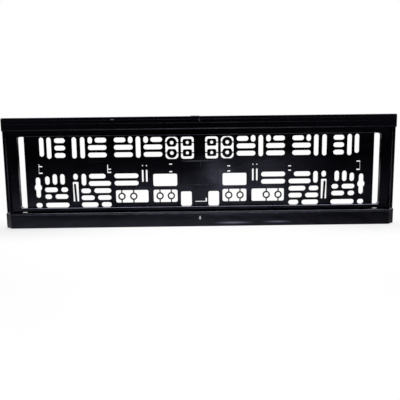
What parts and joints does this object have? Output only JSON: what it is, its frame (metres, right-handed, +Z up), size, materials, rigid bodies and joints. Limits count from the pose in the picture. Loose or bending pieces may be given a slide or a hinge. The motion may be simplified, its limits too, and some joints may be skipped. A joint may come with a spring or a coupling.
{
  "type": "number plate holder",
  "caption": "Car number plate holder: black moulded frame with a perforated floor for screws, a lipped top rail and a clip-on lower bar that keeps the plate in.",
  "frame": {"origin": "on the back plane that lies against the car, behind the centre pad, at the middle of the holder's width and height", "axes": "+X along the plate to the right as seen from the front, +Z up, the front faces -Y"},
  "size_m": [0.533, 0.0126, 0.1502],
  "materials": {
    "black_base": "glossy moulded black plastic",
    "black_bar": "glossy moulded black plastic"
  },
  "bodies": {
    "root": {"holder_base": "black_base", "retaining_bar": "black_bar"}
  },
  "joints": []
}
